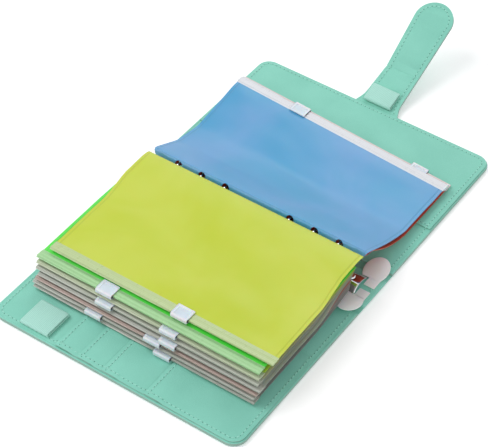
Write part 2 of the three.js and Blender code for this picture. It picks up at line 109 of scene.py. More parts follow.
STRAP_BLEND_REACH = 3
STRAP_STITCH_INSET = 3.2
SURFACE_LIFT = 0.05

# Stitching
STITCH_INSET = 4
STITCH_PITCH = 3.3
STITCH_LENGTH = 2.3
THREAD_RADIUS = 0.38
NEEDLE_HOLE = (0.34, 0.34, 0.07)

# Photograph's frame and viewpoint
IMAGE_WIDTH = 488
FOCAL_PIXELS = 1874.2
VIEW_AZIMUTH = -58.02
VIEW_ELEVATION = 44.10
VIEW_ROLL = 3.03
VIEW_DISTANCE = 1256.4
VIEW_TARGET = Vector((6.20, 11.52, 0))


def add_camera():
    azimuth, elevation, roll = (math.radians(v) for v in (VIEW_AZIMUTH, VIEW_ELEVATION, VIEW_ROLL))
    level = math.cos(elevation)
    back = Vector((math.sin(azimuth) * level, -math.cos(azimuth) * level, math.sin(elevation)))
    right = (-back).cross(Vector((0, 0, 1))).normalized()
    up = right.cross(-back)
    turned_right = right * math.cos(roll) + up * math.sin(roll)
    turned_up = up * math.cos(roll) - right * math.sin(roll)
    data = bpy.data.cameras.new("photo_camera")
    data.sensor_fit = "HORIZONTAL"
    data.sensor_width = 36
    data.lens = FOCAL_PIXELS * data.sensor_width / IMAGE_WIDTH
    data.clip_end = 20
    camera = bpy.data.objects.new("photo_camera", data)
    bpy.context.scene.collection.objects.link(camera)
    camera.matrix_world = (
        Matrix.Translation((VIEW_TARGET + back * VIEW_DISTANCE) * MM)
        @ Matrix((turned_right, turned_up, back)).transposed().to_4x4()
    )
    bpy.context.scene.camera = camera


class Value:
    """A shader socket whose operators add Math nodes to its finish."""

    def __init__(self, finish, socket):
        self.finish = finish
        self.socket = socket

    def math(self, operation, *others):
        return self.finish.node("ShaderNodeMath", {"operation": operation}, [self, *others])

    def __add__(self, other):
        return self.math("ADD", other)

    def __radd__(self, other):
        return self.math("ADD", other)

    def __sub__(self, other):
        return self.math("SUBTRACT", other)

    def __rsub__(self, other):
        return self.finish.node("ShaderNodeMath", {"operation": "SUBTRACT"}, [other, self])

    def __mul__(self, other):
        return self.math("MULTIPLY", other)

    def __rmul__(self, other):
        return self.math("MULTIPLY", other)

    def smooth(self, low, high):
        """0 below low, 1 above high, and an even curve between."""
        settings = {"interpolation_type": "SMOOTHSTEP"}
        inputs = {"Value": self, "From Min": low, "From Max": high}
        return self.finish.node("ShaderNodeMapRange", settings, inputs)


class Finish:
    """A material that is made round one Principled shader."""

    def __init__(self, name, **constants):
        self.material = bpy.data.materials.new(name)
        self.material.use_nodes = True
        self.tree = self.material.node_tree
        self.shader = self.tree.nodes["Principled BSDF"]
        for socket, value in constants.items():
            self.shader.inputs[socket.replace("_", " ")].default_value = value

    def node(self, kind, settings=None, inputs=None, output=0):
        """Adds one node, with its settings first and then the values or links of its sockets."""
        made = self.tree.nodes.new(kind)
        for key, value in (settings or {}).items():
            if key == "stops":
                while len(made.color_ramp.elements) < len(value):
                    made.color_ramp.elements.new(0.5)
                for element, (place, colour) in zip(made.color_ramp.elements, value):
                    element.position = place
                    element.color = (*colour, 1)
            else:
                setattr(made, key, value)
        pairs = inputs.items() if isinstance(inputs, dict) else enumerate(inputs or [])
        for key, value in pairs:
            self.feed(made.inputs[key], value)
        return Value(self, made.outputs[output])

    def feed(self, socket, value):
        if isinstance(value, Value):
            self.tree.links.new(value.socket, socket)
        elif hasattr(value, "__len__") and len(value) == 3 and socket.type == "RGBA":
            socket.default_value = (*value, 1)
        else:
            socket.default_value = value

    def set(self, name, value):
        self.feed(self.shader.inputs[name], value)

    def place(self):
        """Place on the object, in metres."""
        return self.node("ShaderNodeTexCoord", output="Object")

    def parts(self, vector):
        split = self.tree.nodes.new("ShaderNodeSeparateXYZ")
        self.feed(split.inputs[0], vector)
        return [Value(self, out) for out in split.outputs]

    def mottle(self, scale, detail=2, distortion=0):
        inputs = {"Vector": self.place(), "Scale": scale, "Detail": detail, "Distortion": distortion}
        return self.node("ShaderNodeTexNoise", {}, inputs, "Fac")

    def cells(self, scale):
        inputs = {"Vector": self.place(), "Scale": scale}
        return self.node("ShaderNodeTexVoronoi", {"feature": "DISTANCE_TO_EDGE"}, inputs, "Distance")

    def blend_colours(self, factor, first, second):
        made = self.tree.nodes.new("ShaderNodeMix")
        made.data_type = "RGBA"
        self.feed(made.inputs["Factor"], factor)
        self.feed(made.inputs[6], first)
        self.feed(made.inputs[7], second)
        return Value(self, made.outputs[2])

    def tint(self, factor, first, second):
        self.set("Base Color", self.blend_colours(factor, first, second))

    def bump(self, height, distance, strength=1.0):
        inputs = {"Height": height, "Distance": distance, "Strength": strength}
        self.set("Normal", self.node("ShaderNodeBump", {}, inputs, "Normal"))


def shade(red, green, blue):
    """A colour as seen, from 0 to 255, turned into the light that it sends back."""
    return tuple(((v / 255 + 0.055) / 1.055) ** 2.4 if v > 10 else v / 3295 for v in (red, green, blue))


def darker(colour, share):
    return tuple(v * share for v in colour)


def leather_finish():
    finish = Finish("mint_leather", Specular_IOR_Level=0.4)
    mint, deep = shade(144, 218, 198), shade(131, 206, 186)
    drift = finish.mottle(28, 3).smooth(0.3, 0.7)
    pores = finish.cells(1500)
    finish.tint(drift * 0.6 + (1 - pores.smooth(0, 0.25)) * 0.35, mint, deep)
    finish.set("Roughness", 0.5 + finish.mottle(400, 2) * 0.14)
    finish.bump(pores.smooth(0, 0.4) + finish.mottle(900, 3) * 0.8, 0.00012, 0.55)
    return finish.material


def edge_finish():
    """A greyer, darker tone with a slow mottle, given to the faces that stand upright at the rims."""
    finish = Finish("grey_rim_tone", Roughness=0.6)
    drift = finish.mottle(120, 3)
    finish.tint(drift, shade(160, 192, 179), shade(138, 175, 160))
    finish.bump(finish.mottle(700, 2), 0.00008, 0.4)
    return finish.material


def thread_finish():
    finish = Finish("mint_thread", Roughness=0.7, Sheen_Weight=0.3)
    x, y, z = finish.parts(finish.place())
    twist = ((x + y) * 9000).math("SINE")
    finish.tint(twist * 0.5 + 0.5, shade(176, 236, 221), shade(150, 218, 200))
    finish.bump(twist, 0.00005, 0.6)
    return finish.material


def needle_hole_shade_finish():
    finish = Finish("needle_hole_painted_shade", Roughness=0.8)
    # Painted shade: the needle hole's disc is coloured dark to stand for the shadow inside the hole.
    finish.tint(finish.mottle(900, 2), shade(84, 140, 122), shade(66, 120, 104))
    return finish.material


def elastic_finish():
    finish = Finish("ribbed_elastic", Roughness=0.85, Sheen_Weight=0.35, Sheen_Roughness=0.4)
    x, y, z = finish.parts(finish.place())
    ribs = (y * (2 * math.pi / 0.0010)).math("SINE")
    weft = (x * (2 * math.pi / 0.0011)).math("SINE")
    # Painted shade: the grooves between the ribs are tinted darker, with a random fuzz on top.
    groove_shade = (1 - ribs.smooth(-1, 0.1)) * 0.6
    fuzz = finish.mottle(2500, 2)
    finish.tint(groove_shade + fuzz * 0.25, shade(192, 240, 227), shade(146, 214, 196))
    finish.bump(ribs + weft * 0.35 + fuzz * 0.6, 0.00012, 0.6)
    return finish.material


def chrome_finish():
    finish = Finish("ring_chrome", Metallic=1.0)
    finish.tint(finish.mottle(60, 3), shade(232, 233, 236), shade(205, 207, 212))
    finish.set("Roughness", 0.08 + finish.mottle(220, 3).smooth(0.45, 0.8) * 0.14)
    finish.bump(finish.mottle(90, 2), 0.0001, 0.15)
    return finish.material


def slider_finish():
    finish = Finish("white_slider_plastic", IOR=1.49, Subsurface_Weight=0.25, Subsurface_Scale=0.002)
    finish.tint(finish.mottle(160, 2), shade(238, 240, 244), shade(222, 225, 233))
    finish.set("Roughness", 0.28 + finish.mottle(500, 2) * 0.18)
    finish.bump(finish.mottle(1200, 2), 0.00004, 0.4)
    return finish.material


def lifter_finish():
    finish = Finish("pale_lifter_plastic", IOR=1.49, Subsurface_Weight=0.2, Subsurface_Scale=0.003)
    finish.tint(finish.mottle(90, 2), shade(253, 247, 246), shade(248, 238, 238))
    finish.set("Roughness", 0.3 + finish.mottle(300, 2) * 0.15)
    finish.bump(finish.mottle(500, 2), 0.00005, 0.3)
    return finish.material


def film_finish(name, seen, painted_sheen, alpha):
    """Frosted film: a colour with slow cloudy patches of a lighter painted sheen, a fine frost, and welded
    lines along its edges.
    """
    finish = Finish(name, IOR=1.5, Alpha=alpha, Subsurface_Weight=0.15, Subsurface_Scale=0.002)
    cloud_and_sheen = finish.mottle(14, 3, distortion=0.6).smooth(0.3, 0.72)
    flat = finish.node("ShaderNodeUVMap", {"uv_map": "film"})
    along, across, _ = finish.parts(flat)
    weld = 1 - (along - 0.0085).math("ABSOLUTE").smooth(0.0002, 0.0007)
    side = 1 - (across.math("ABSOLUTE") - (FILM_HALF - 2.2) * MM).math("ABSOLUTE").smooth(0.0002, 0.0007)
    lines = weld.math("MAXIMUM", side)
    # Painted sheen: the cloudy patches blend the film's colour towards its lighter sheen colour. The same
    # cloud also varies the roughness.
    sheened_colour = finish.blend_colours(cloud_and_sheen, seen, painted_sheen)
    finish.tint(lines * 0.28, sheened_colour, darker(seen, 0.62))
    finish.set("Roughness", 0.3 + cloud_and_sheen * 0.1 + finish.mottle(900, 2) * 0.08)
    finish.bump(finish.mottle(1800, 2) * 0.25 + finish.mottle(45, 2) * 2.4 - lines * 2.5, 0.00012, 0.5)
    return finish.material


def rail_finish(name, tint, alpha):
    finish = Finish(name, IOR=1.5, Alpha=alpha)
    flat = finish.node("ShaderNodeUVMap", {"uv_map": "film"})
    along, across, _ = finish.parts(flat)
    ridge = (along * (2 * math.pi / 0.0012)).math("SINE")
    # Painted shade: the troughs between the ridges are tinted darker, with a random mottle on top.
    mix = (1 - ridge.smooth(-1, 0.2)) * 0.5 + finish.mottle(260, 2) * 0.3
    finish.tint(mix, tint, darker(tint, 0.84))
    finish.set("Roughness", 0.2 + finish.mottle(300, 2) * 0.2)
    finish.bump(ridge, 0.00008, 0.4)
    return finish.material


def finished(name, bm, material, sharp=38):
    """Turns a bmesh in millimetres into a piece in metres, smooth but for its sharp edges."""
    bmesh.ops.recalc_face_normals(bm, faces=bm.faces)
    for face in bm.faces:
        face.smooth = True
    for edge in bm.edges:
        if len(edge.link_faces) == 2:
            edge.smooth = edge.calc_face_angle(0) < math.radians(sharp)
    bmesh.ops.scale(bm, vec=(MM, MM, MM), verts=bm.verts)
    mesh = bpy.data.meshes.new(name)
    bm.to_mesh(mesh)
    bm.free()
    piece = bpy.data.objects.new(name, mesh)
    bpy.context.scene.collection.objects.link(piece)
    mesh.materials.append(material)
    return piece


def tone_rims(piece, material, level=0.35):
    """Gives the faces that stand upright a greyer, darker tone, as a second material."""
    piece.data.materials.append(material)
    for polygon in piece.data.polygons:
        if abs(polygon.normal.z) < level:
            polygon.material_index = 1


def soften(bm, edges, width, segments=3, clamp=False):
    settings = {"offset": width, "segments": segments, "clamp_overlap": clamp}
    bmesh.ops.bevel(bm, geom=edges, profile=0.5, affect="EDGES", material=-1, **settings)


def block(low, high):
    """A closed box between two corners, in millimetres."""
    bm = bmesh.new()
    centre = [(a + b) / 2 for a, b in zip(low, high)]
    size = [b - a for a, b in zip(low, high)]
    bmesh.ops.create_cube(bm, size=1, matrix=Matrix.Translation(centre) @ Matrix.Diagonal((*size, 1)))
    return bm


def upright_edges(bm, near=None):
    return [
        e for e in bm.edges
        if abs(e.verts[0].co.z - e.verts[1].co.z) > 0.1
        and abs(e.verts[0].co.x - e.verts[1].co.x) + abs(e.verts[0].co.y - e.verts[1].co.y) < 0.01
        and (near is None or abs(e.verts[0].co.x - near) < 0.1)
    ]


def level_faces(bm, height):
    return [f for f in bm.faces if all(abs(v.co.z - height) < 0.01 for v in f.verts)]


def pressed_line(bm, height, inset, width, depth):
    """A shallow pressed line that runs round a level face, inset from its edge."""
    faces = level_faces(bm, height)
    bmesh.ops.inset_region(bm, faces=faces, thickness=inset, use_even_offset=True)
    bmesh.ops.inset_region(bm, faces=faces, thickness=width, depth=-depth, use_even_offset=True)
    bmesh.ops.inset_region(bm, faces=faces, thickness=width, depth=depth, use_even_offset=True)


def dressed(node, name, material, width, segments=2, angle=35, carve=None):
    """A merged copy of a node with softened edges, which stands for it."""
    bm = bmesh.new()
    bm.from_mesh(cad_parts[node].data)
    bmesh.ops.scale(bm, vec=(1 / MM, 1 / MM, 1 / MM), verts=bm.verts)
    bmesh.ops.remove_doubles(bm, verts=bm.verts, dist=0.002)
    bmesh.ops.dissolve_limit(bm, angle_limit=math.radians(1), verts=bm.verts, edges=bm.edges)
    edges = [e for e in bm.edges if len(e.link_faces) == 2 and e.calc_face_angle(0) > math.radians(angle)]
    soften(bm, edges, width, segments)
    if carve:
        carve(bm)
    piece = finished(name, bm, material)
    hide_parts(node)
    return piece


def line_points(points, pitch, closed=False):
    """Evenly spaced places and directions along a line of points."""
    stops = [Vector(p) for p in points]
    if closed:
        stops.append(stops[0])
    lengths = [(b - a).length for a, b in zip(stops, stops[1:])]
    total = sum(lengths)
    count = max(1, round(total / pitch))
    found = []
    for i in range(count):
        run = (i + 0.5) * total / count
        for a, b, length in zip(stops, stops[1:], lengths):
            if run <= length:
                found.append((a.lerp(b, run / length), (b - a).normalized()))
                break
            run -= length
    return found


def corner_arc(x, y, radius, start, steps=6):
    """A quarter turn about a centre, seen from above, anticlockwise from start."""
    angles = [math.radians(start + 90 * i / steps) for i in range(steps + 1)]
    return [(x + radius * math.cos(a), y + radius * math.sin(a)) for a in angles]


def ball(rings):
    """The corners and faces of a small closed ball of radius 1."""
    bm = bmesh.new()
    bmesh.ops.create_uvsphere(bm, u_segments=8, v_segments=rings, radius=1)
    bm.verts.index_update()
    corners = [v.co.copy() for v in bm.verts]
    faces = [[v.index for v in face.verts] for face in bm.faces]
    bm.free()
    return corners, faces


def add_copy(bm, template, matrix):
    corners, faces = template
    verts = [bm.verts.new(matrix @ corner) for corner in corners]
    return [bm.faces.new([verts[i] for i in face]) for face in faces]


def stitches(name, rows, materials, shape=None):
    """Rows of short threads with a needle hole between them, each hole a small flat disc whose dark colour is
    painted shade, on lines of points in millimetres.
    """
    bm = bmesh.new()
    holes = []
    thread_ball, hole_ball = ball(6), ball(4)
    for points in rows:
        for place, direction in line_points(points, STITCH_PITCH):
            turn = direction.to_track_quat("X", "Z").to_matrix().to_4x4()
            slant = Matrix.Rotation(math.radians(7), 4, "Z")
            size = Matrix.Diagonal((STITCH_LENGTH / 2, THREAD_RADIUS, THREAD_RADIUS, 1))
            matrix = Matrix.Translation(place) @ turn @ slant @ size
            add_copy(bm, thread_ball, matrix)
            spot = place + direction * (STITCH_PITCH / 2)
            matrix = Matrix.Translation(spot) @ turn @ Matrix.Diagonal((*NEEDLE_HOLE, 1))
            holes += add_copy(bm, hole_ball, matrix)
    if shape:
        for vert in bm.verts:
            vert.co = shape(vert.co)
    for face in holes:
        face.material_index = 1
    piece = finished(name, bm, materials[0], 180)
    piece.data.materials.append(materials[1])
    return piece


def make_covers(leather, thread, edge):
    """Boards wrapped in leather: softened rims, a turned edge line and a row of stitches on each side."""
    for word, side in (("left", -1), ("right", 1)):
        xs = sorted((side * (SPINE_HALF + CREASE_GROOVE - 0.4), side * FORE))
        bm = block((xs[0], -COVER_HALF, 0), (xs[1], COVER_HALF, BOARD))
        soften(bm, upright_edges(bm, side * FORE), CORNER_RADIUS, 10)
        for height in (0, BOARD):
            pressed_line(bm, height, 1.5, 0.22, 0.16)
        rims = [
            e for e in bm.edges
            if len(e.link_faces) == 2 and e.calc_face_angle(0) > math.radians(60)
            and abs(e.verts[0].co.z - e.verts[1].co.z) < 0.01 and e.verts[0].co.z in (0, BOARD)
        ]
        soften(bm, rims, 0.9, 3)
        cover = finished(f"{word}_cover_skin", bm, leather)
        tone_rims(cover, edge)
        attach(cover, f"{word}_cover")
        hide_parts(f"{word}_cover_panel")
        if side < 0:
            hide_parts("cover_magnet")
        threads = stitches(f"{word}_cover_stitching", cover_rows(side), thread)
        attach(threads, f"{word}_cover")


def cover_rows(side):
    """The row along three edges of a cover, inside and outside."""
    reach = FORE - STITCH_INSET
    half = COVER_HALF - STITCH_INSET
    radius = CORNER_RADIUS - STITCH_INSET
    start = SPINE_HALF + CREASE_GROOVE + 2
    flat = [(start, -half), *corner_arc(reach - radius, -half + radius, radius, -90)]
    flat += [*corner_arc(reach - radius, half - radius, radius, 0), (start, half)]
    inside = [(side * x, y, surface_height(side, side * x, y) + 0.05) for x, y in subdivided(flat)]
    outside = [(side * x, y, THREAD_RADIUS - 0.1) for x, y in flat]
    return [inside, outside]


def subdivided(points, step=2.0):
    found = []
    for (x0, y0), (x1, y1) in zip(points, points[1:]):
        count = max(1, int(math.hypot(x1 - x0, y1 - y0) / step))
        found += [(x0 + (x1 - x0) * i / count, y0 + (y1 - y0) * i / count) for i in range(count)]
    return [*found, points[-1]]


def slot_height(y):
    """Height of the card slots' faces: each panel is raised over the tail of the one above it."""
    if y > SLOT_OPENINGS[0]:
        return BOARD
    raised = any(opening - SLOT_TUCK - SEAT - 2 < y <= opening for opening in SLOT_OPENINGS)
    return BOARD + SEAT + PANEL_THICKNESS + (PANEL_THICKNESS + SEAT if raised else 0)


def surface_height(side, x, y):
    """Height of the inside face at a place near a cover's edge."""
    inner = FORE - PANEL_HEM - PANEL_REACH
    if abs(x) < inner or abs(x) > FORE - PANEL_HEM or abs(y) > COVER_HALF - PANEL_HEM:
        return BOARD
    return slot_height(y) if side < 0 else BOARD + SEAT + PANEL_THICKNESS


def make_spine(leather, thread):
    edge = SPINE_HALF - CREASE_GROOVE + 0.4
    bm = block((-edge, -COVER_HALF, 0), (edge, COVER_HALF, BOARD))
    soften(bm, list(bm.edges), 0.8, 3)
    spine = finished("spine_skin", bm, leather)
    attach(spine, "spine")
    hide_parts("spine_panel")
    rows = [
        [(x, side * (COVER_HALF - STITCH_INSET), z) for x in (-edge + 1, edge - 1)]
        for side in (-1, 1) for z in (THREAD_RADIUS - 0.1, BOARD + 0.05)
    ]
    threads = stitches("spine_stitching", rows, thread)
    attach(threads, "spine")
    for word, side in (("left", -1), ("right", 1)):
        make_crease(word, side, leather)


def make_crease(word, side, leather):
    """The thin skin between a cover's board and the spine's board."""
    low, high = sorted((side * (SPINE_HALF - CREASE_GROOVE - 0.6), side * (SPINE_HALF + CREASE_GROOVE + 0.6)))
    bm = block((low, -COVER_HALF + 0.3, 0.05), (high, COVER_HALF - 0.3, CREASE_SKIN))
    for step in range(1, 10):
        place = (low + (high - low) * step / 10, 0, 0)
        bmesh.ops.bisect_plane(bm, geom=[*bm.verts, *bm.edges, *bm.faces], plane_co=place, plane_no=(1, 0, 0))
    for vert in bm.verts:
        if vert.co.z > 0.6:
            vert.co.z -= 0.45 * max(0, 1 - abs(abs(vert.co.x) - SPINE_HALF) / CREASE_GROOVE)
    crease = finished(f"{word}_crease_skin", bm, leather)
    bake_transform(crease)


def make_panels(leather, thread, edge):
    """Card slots in the left cover and the large pocket in the right one, each with a stitched mouth."""
    rows = []
    inner = FORE - PANEL_HEM - PANEL_REACH
    for i, opening in enumerate(SLOT_OPENINGS):
        panel = dressed(f"card_slot_panel_{i + 1}", f"card_slot_{i + 1}", leather, 0.12)
        tone_rims(panel, edge)
        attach(panel, "left_cover")
        height = slot_height(opening - 2) + 0.05
        rows.append([(-x, opening - 2.6, height) for x in (inner + 2, FORE - PANEL_HEM - 1.5)])
    threads = stitches("card_slot_stitching", rows, thread)
    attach(threads, "left_cover")
    pocket = dressed("back_pocket_panel", "back_pocket", leather, 0.12)
    tone_rims(pocket, edge)
    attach(pocket, "right_cover")
    height = BOARD + SEAT + PANEL_THICKNESS + 0.05
    mouth = [(inner + 2.6, y, height) for y in (-COVER_HALF + PANEL_HEM + 2, COVER_HALF - PANEL_HEM - 2)]
    threads = stitches("back_pocket_stitching", [mouth], thread)
    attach(threads, "right_cover")


def make_loops(elastic):
    for node, name, body in (
        ("cover_pen_loop", "cover_elastic_loop", "left_cover"),
        ("strap_pen_loop", "strap_elastic_loop", "strap_root"),
    ):
        loop = dressed(node, name, elastic, 0.25, 2)
        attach(loop, body)


def strap_half_width(s):
    """Half the strap's width: flared at its root, waisted at the crease and fuller towards its end."""
    flare = 3.2 * max(0, 1 - s / 11) ** 2
    if s < STRAP_BASE_LENGTH:
        share = s / STRAP_BASE_LENGTH
        return 14.6 + (STRAP_WAIST - 14.6) * share + flare
    share = (s - STRAP_BASE_LENGTH) / (STRAP_TIP_LENGTH - STRAP_END_RADIUS)
    return STRAP_WAIST + (STRAP_END_RADIUS - STRAP_WAIST) * min(1, share)


def strap_place(flat):
    """From a flat place on the strap (along, across, height) to its place on the wallet."""
    first, second = (math.radians(v) for v in STRAP_RISES)
    s, y, z = flat
    past = s - STRAP_BASE_LENGTH
    ease = 4.0
    share = min(1, max(0, (past + ease) / (2 * ease)))
    angle = first + (second - first) * share
    crease = STRAP_ROOT + Vector((math.cos(first), 0, math.sin(first))) * STRAP_BASE_LENGTH
    if past <= -ease:
        spot = crease + Vector((math.cos(first), 0, math.sin(first))) * past
    elif past >= ease:
        spot = crease + Vector((math.cos(second), 0, math.sin(second))) * past
    else:
        before = Vector((math.cos(first), 0, math.sin(first))) * past
        after = Vector((math.cos(second), 0, math.sin(second))) * past
        spot = crease + before.lerp(after, share)
    return spot + Vector((-math.sin(angle), 0, math.cos(angle))) * z + Vector((0, y, 0))


def make_strap(leather, thread, edge):
    """The closing strap: two leaves of leather sewn together round their edge, with a crease between."""
    length = STRAP_BASE_LENGTH + STRAP_TIP_LENGTH
    centre = length - STRAP_END_RADIUS
    stations = [-1.2, 2, 5, 8, 11, 16, 22, 28, 34, STRAP_BASE_LENGTH, 42, 55, 70]
    side = [(s, strap_half_width(max(0, s))) for s in stations]
    angles = [math.radians(90 - 7.5 * i) for i in range(25)]
    tip = [(centre + STRAP_END_RADIUS * math.cos(a), STRAP_END_RADIUS * math.sin(a)) for a in angles]
    outline = [*side, *tip, *[(s, -w) for s, w in reversed(side)]]
    bm = bmesh.new()
    verts = [bm.verts.new((s, y, -STRAP_THICKNESS)) for s, y in outline]
    bm.faces.new(verts)
    raised = bmesh.ops.extrude_face_region(bm, geom=list(bm.faces))["geom"]
    moved = [v for v in raised if isinstance(v, bmesh.types.BMVert)]
    bmesh.ops.translate(bm, vec=(0, 0, STRAP_THICKNESS), verts=moved)
    bmesh.ops.recalc_face_normals(bm, faces=bm.faces)
    for height in (0, -STRAP_THICKNESS):
        pressed_line(bm, height, 1.3, 0.2, 0.14)
    rims = [
        e for e in bm.edges
        if len(e.link_faces) == 2 and e.calc_face_angle(0) > math.radians(60)
        and abs(e.verts[0].co.z - e.verts[1].co.z) < 0.01
    ]
    soften(bm, rims, 0.5, 3, True)
    near_crease = (-3.4, -2, -1, -0.45, 0, 0.45, 1, 2, 3.4)
    cuts = [s * 6.0 for s in range(1, 16)] + [STRAP_BASE_LENGTH + d for d in near_crease]
    for s in cuts:
        geometry = [*bm.verts, *bm.edges, *bm.faces]
        bmesh.ops.bisect_plane(bm, geom=geometry, plane_co=(s, 0, 0), plane_no=(1, 0, 0))
    for vert in bm.verts:
        if vert.co.z > -0.5:
            vert.co.z -= 0.4 * math.exp(-(((vert.co.x - STRAP_BASE_LENGTH) / 0.7) ** 2))
        vert.co = strap_place(vert.co)
    strap = finished("closing_strap", bm, leather)
    tone_rims(strap, edge, 0.3)
    crease = strap_place(Vector((STRAP_BASE_LENGTH, 0, 0)))
    slope = math.radians(STRAP_BLEND_ANGLE)
    along = Vector((math.cos(slope), 0, math.sin(slope))) * STRAP_BLEND_REACH
    (crease - along) * MM
    (crease + along) * MM
    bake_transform(strap)
    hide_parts("strap_base", "strap_tip", "strap_magnet")
    bend = STRAP_END_RADIUS - STRAP_STITCH_INSET
    turned = [(centre + bend * math.cos(a), bend * math.sin(a)) for a in angles]
    places = (2, 6, 11, 20, 30, STRAP_BASE_LENGTH, 50, 65)
    run = [(s, strap_half_width(s) - STRAP_STITCH_INSET) for s in places]
    line = [*run, *turned, *[(s, -w) for s, w in reversed(run)]]
    levels = (SURFACE_LIFT, -STRAP_THICKNESS - SURFACE_LIFT)
    rows = [[(s, y, z) for s, y in subdivided(line)] for z in levels]
    threads = stitches("closing_strap_stitching", rows, thread, strap_place)
    (crease - along) * MM
    (crease + along) * MM
    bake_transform(threads)


def make_mechanism(chrome, plastic):
    plate = dressed("ring_plate", "arched_ring_plate", chrome, 0.18)
    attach(plate, "spine")
    for word in ("top", "bottom"):
        rivet = dressed(f"ring_rivet_{word}", f"{word}_rivet", chrome, 0.2)
        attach(rivet, "spine")
    for word, side in (("left", -1), ("right", 1)):
        leaf = dressed(f"ring_leaf_{word}", f"{word}_ring_leaf", chrome, 0.15)
        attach(leaf, f"rings_{word}")
        for i, y in enumerate(RING_STATIONS):
            ring = half_ring(f"{word}_half_ring_{i + 1}", side, y, chrome)
            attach(ring, f"rings_{word}")
            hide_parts(f"half_ring_{word}_{i + 1}")
        lobe = dressed(f"page_lifter_{word}", f"{word}_lifter_lobe", plastic, 0.25)
        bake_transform(lobe)


def half_ring(name, side, y, chrome):
    """Half a ring of round wire, from its joint at the crown down into its leaf."""
    bm = bmesh.new()
    crown = Vector((side * 0.15, y, RING_CENTRE + RING_RADIUS))
    turn = Matrix.Rotation(math.radians(90), 4, "Y")
    made = bmesh.ops.create_circle(
        bm, cap_ends=True, segments=16, radius=WIRE_RADIUS, matrix=Matrix.Translation(crown) @ turn
    )
    geometry = [*made["verts"], *bm.edges, *bm.faces]
    bmesh.ops.spin(
        bm, geom=geometry, cent=(0, y, RING_CENTRE), axis=(0, 1, 0),
        angle=side * math.radians(154), steps=28, use_merge=False,
    )
    bmesh.ops.remove_doubles(bm, verts=bm.verts, dist=0.001)
    return finished(name, bm, chrome)


def section_line(side, order, count):
    """An envelope's section from its punched edge to its zip, as a function of the distance along it."""
    ring_angle = (LEFT_RING_ANGLES if side < 0 else RIGHT_RING_ANGLES)[order]
    panel_top = BOARD + SEAT + PANEL_THICKNESS + (PANEL_THICKNESS + SEAT if side < 0 else 0)
    rail_height = panel_top + SEAT + 0.45 + 1.1 + RAIL_PITCH * (count - 1 - order)
    turn = math.radians(ring_angle)
    out = Vector((side * math.sin(turn), math.cos(turn)))
    centre = Vector((0, RING_CENTRE))
    start = centre + out * (RING_RADIUS - FILM_MARGIN)
    stand = centre + out * (RING_RADIUS + FILM_STAND)
    bend = BEND_REACH + ring_angle * BEND_GAIN if side < 0 else BEND_REACH
    if side < 0 and order == 0:
        bend = TOP_BEND
    fall = FALL_SHARE if side < 0 else FALL_SHARE - ring_angle * RIGHT_FALL_LOSS
    settled = Vector((side * SETTLE, rail_height + SETTLE_RISE))
    handles = [
        stand,
        stand + out * bend,
        Vector((
            settled.x - side * SETTLE * SETTLE_SLACK,
            settled.y + (stand.y - settled.y) * fall + HANDLE_RISE,
        )),
        settled,
    ]
    points = [start, stand]
    for i in range(1, CURVE_STEPS + 1):
        t = i / CURVE_STEPS
        weights = ((1 - t) ** 3, 3 * t * (1 - t) ** 2, 3 * t * t * (1 - t), t ** 3)
        points.append(sum((h * w for h, w in zip(handles, weights)), Vector((0, 0))))
    used = sum((b - a).length for a, b in zip(points, points[1:]))
    rest = FILM_WIDTH - used
    points.append(Vector((settled.x + side * math.sqrt(rest * rest - 0.64), rail_height)))

    def at(distance):
        run = distance
        for a, b in zip(points, points[1:]):
            length = (b - a).length
            if run <= length or b is points[-1]:
                return a + (b - a) * (run / length), (b - a) / length
            run -= length

    return at


def right_lift(x, y):
    share = min(1, max(0, (x - LIFT_START) / (LIFT_END - LIFT_START)))
    return RIGHT_LIFT * share * (y + FILM_HALF) / (2 * FILM_HALF)


def film_place(at, side, order, s, y, offset):
    """A place on an envelope: s along its section, y along the spine, offset out of its middle face."""
    point, tangent = at(s)
    normal = Vector((-tangent.y, tangent.x)) * side * -1
    if normal.y < 0:
        normal = -normal
    free = smooth(16, 45, s) * (1 - smooth(104, 113, s))
    top = 1.0 if order == 0 else 0.25
    ripple = 1.1 * noise.noise(Vector((s * 0.021, y * 0.024, order * 3.7 + side)))
    ripple += 0.5 * noise.noise(Vector((s * 0.06, y * 0.05, order * 5.1 + side)))
    height = offset + free * top * ripple
    x = point.x + normal.x * height
    z = point.y + normal.y * height
    if side > 0:
        z += right_lift(x, y)
    return Vector((x, y + zip_skew(side, order, x), z))


def zip_skew(side, order, x):
    """How far an envelope has slid along the spine: nothing at its holes, most at its zip."""
    index = order if side < 0 else LEFT_COUNT + order
    return ZIP_SKEWS[index] * min(1, max(0, (abs(x) - SETTLE / 2) / (SETTLE / 2)))


def smooth(low, high, value):
    share = min(1, max(0, (value - low) / (high - low)))
    return share * share * (3 - 2 * share)


def steps_between(low, high, step):
    count = max(1, math.ceil((high - low) / step))
    return [low + (high - low) * i / count for i in range(count)]


def film_grid():
    """The grid lines along and across an envelope, close together round its punched holes."""
    near = (-4, -2.12, -0.878, 0, 0.878, 2.12, 4)
    along = [0, 1.2, *[FILM_MARGIN + d for d in near[1:]], 10]
    along += [*steps_between(12, 40, 2.0), *steps_between(40, 110, 3.5), 110, FILM_WIDTH - RAIL_WIDTH]
    across = sorted({round(y + d, 3) for y in RING_STATIONS for d in near})
    lines = [-FILM_HALF, -83.5, -82.3, -81]
    lines += steps_between(-78.5, across[0], 3)
    for a, b in zip(across, across[1:]):
        lines += steps_between(a, b, 3.5)
    lines += [across[-1], *steps_between(across[-1] + 3, 78.5, 3), 78.5, 81, 82.3, 83.5, FILM_HALF]
    return along, lines


